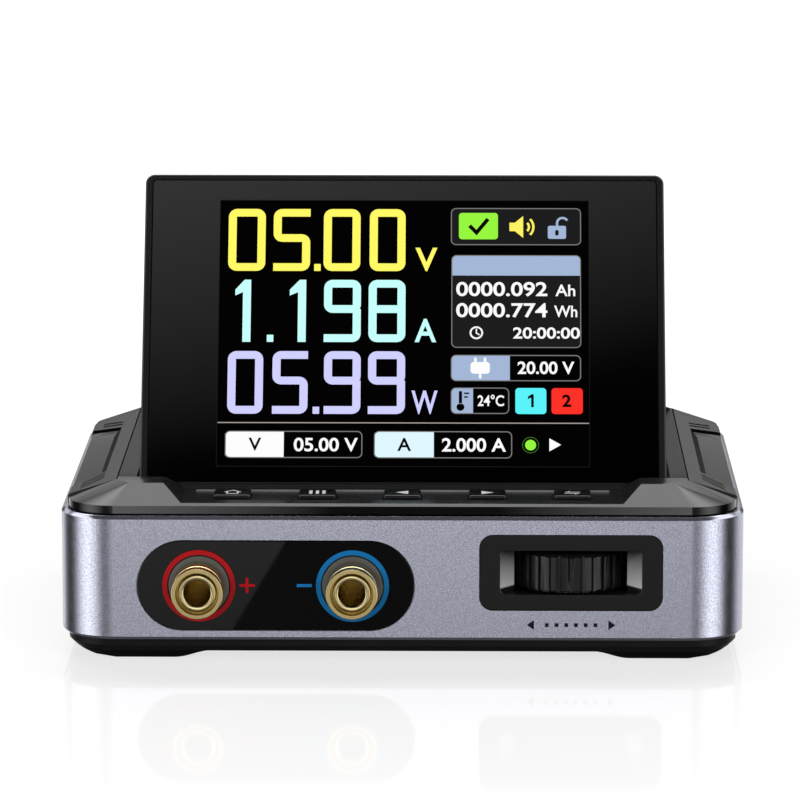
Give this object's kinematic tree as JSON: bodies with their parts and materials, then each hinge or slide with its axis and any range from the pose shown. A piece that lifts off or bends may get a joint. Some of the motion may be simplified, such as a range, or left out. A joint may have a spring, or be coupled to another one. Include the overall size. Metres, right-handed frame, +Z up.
{
  "type": "laboratory power supply",
  "caption": "Pocket bench power supply: flat metal-banded case, fold-up colour display, plug sockets, menu keys and a push-and-turn thumb wheel.",
  "frame": {"origin": "on the table, under the middle of the whole object's box, sockets included, with the display raised", "axes": "+Z up from the table, the front with its sockets and wheel faces -Y, +X to the right seen from the front"},
  "size_m": [0.1044, 0.0826, 0.0698],
  "materials": {
    "case_plastic": "fine-grained matt black moulding",
    "cover_plastic": "fine-grained dark grey moulding",
    "foot_rubber": "smooth matt rubber",
    "sandblasted_aluminium": "sandblasted and anodised, cool grey",
    "gloss_black": "polished black",
    "ring_red": "satin red",
    "ring_blue": "satin blue",
    "insulator_grey": "satin grey",
    "gold_brass": "turned and gold plated",
    "contact_brass": "plain drawn brass",
    "screw_steel": "zinc plated",
    "pin_steel": "ground",
    "bush_bronze": "sintered bronze",
    "key_plastic": "satin black",
    "wheel_plastic": "matt black moulding",
    "board_laminate": "green solder mask",
    "panel_grey": "dark liquid-crystal panel",
    "ribbon_film": "amber film",
    "chip_black": "moulded epoxy",
    "sink_aluminium": "plain extruded",
    "ferrite_grey": "shielded ferrite",
    "can_aluminium": "bright can",
    "inlet_steel": "drawn and plated shell",
    "inlet_plastic": "moulded black"
  },
  "bodies": {
    "case": {"base_tray": "case_plastic", "rubber_feet": "foot_rubber", "case_screws": "screw_steel", "side_band": "sandblasted_aluminium", "top_cover": "cover_plastic", "terminal_plate": "gloss_black", "ring_positive": "ring_red", "ring_negative": "ring_blue", "insulator_positive": "insulator_grey", "insulator_negative": "insulator_grey", "socket_positive": "gold_brass", "socket_negative": "gold_brass", "socket_nuts": "contact_brass", "output_tabs": "contact_brass", "wheel_bezel": "wheel_plastic", "encoder_frame": "inlet_plastic", "push_switch": "inlet_steel", "key_switches": "inlet_steel", "key_board": "board_laminate", "key_board_screws": "screw_steel", "hinge_pin_left": "pin_steel", "hinge_pin_right": "pin_steel", "ribbon_cable": "ribbon_film", "main_board": "board_laminate", "board_screws": "screw_steel", "control_chip": "chip_black", "heat_sink": "sink_aluminium", "inductor_input": "ferrite_grey", "inductor_output": "ferrite_grey", "capacitor_1": "can_aluminium", "capacitor_2": "can_aluminium", "capacitor_3": "can_aluminium", "fan_housing": "case_plastic", "fan_screws": "screw_steel", "usb_inlet": "inlet_steel", "dc_inlet": "inlet_plastic"},
    "display": {"display_housing": "case_plastic", "display_window": "gloss_black", "display_panel": "panel_grey", "display_board": "board_laminate", "hinge_bush_left": "bush_bronze", "hinge_bush_right": "bush_bronze"},
    "carrier": {"wheel_carrier": "inlet_plastic", "wheel_axle": "pin_steel", "axle_clip": "screw_steel"},
    "wheel": {"knurled_wheel": "wheel_plastic"},
    "blower_wheel": {"fan_rotor": "wheel_plastic"},
    "home_key": {"key_home": "key_plastic"},
    "memory_key": {"key_memory": "key_plastic"},
    "left_key": {"key_left": "key_plastic"},
    "right_key": {"key_right": "key_plastic"},
    "swap_key": {"key_swap": "key_plastic"}
  },
  "joints": [
    {"name": "display_tilt", "type": "hinge", "parent": "case", "child": "display", "pos_m": [0, -0.01825, 0.0225], "axis": [1, 0, 0], "range_deg": [-63, 27]},
    {"name": "wheel_press", "type": "slide", "parent": "case", "child": "carrier", "axis": [0, 1, 0], "range_m": [0, 0.0005], "stiffness_N_per_m": 2000, "springref_m": -0.0005},
    {"name": "wheel_spin", "type": "hinge", "parent": "carrier", "child": "wheel", "pos_m": [0.0257, -0.02755, 0.014], "axis": [0, 0, 1], "continuous": true},
    {"name": "fan_spin", "type": "hinge", "parent": "case", "child": "blower_wheel", "pos_m": [0.022, 0.01805, 0.0112], "axis": [0, 0, 1], "continuous": true},
    {"name": "home_press", "type": "slide", "parent": "case", "child": "home_key", "axis": [0, 0, -1], "range_m": [0, 0.0003], "stiffness_N_per_m": 2000, "springref_m": -0.0004},
    {"name": "memory_press", "type": "slide", "parent": "case", "child": "memory_key", "axis": [0, 0, -1], "range_m": [0, 0.0003], "stiffness_N_per_m": 2000, "springref_m": -0.0004},
    {"name": "left_press", "type": "slide", "parent": "case", "child": "left_key", "axis": [0, 0, -1], "range_m": [0, 0.0003], "stiffness_N_per_m": 2000, "springref_m": -0.0004},
    {"name": "right_press", "type": "slide", "parent": "case", "child": "right_key", "axis": [0, 0, -1], "range_m": [0, 0.0003], "stiffness_N_per_m": 2000, "springref_m": -0.0004},
    {"name": "swap_press", "type": "slide", "parent": "case", "child": "swap_key", "axis": [0, 0, -1], "range_m": [0, 0.0003], "stiffness_N_per_m": 2000, "springref_m": -0.0004}
  ]
}
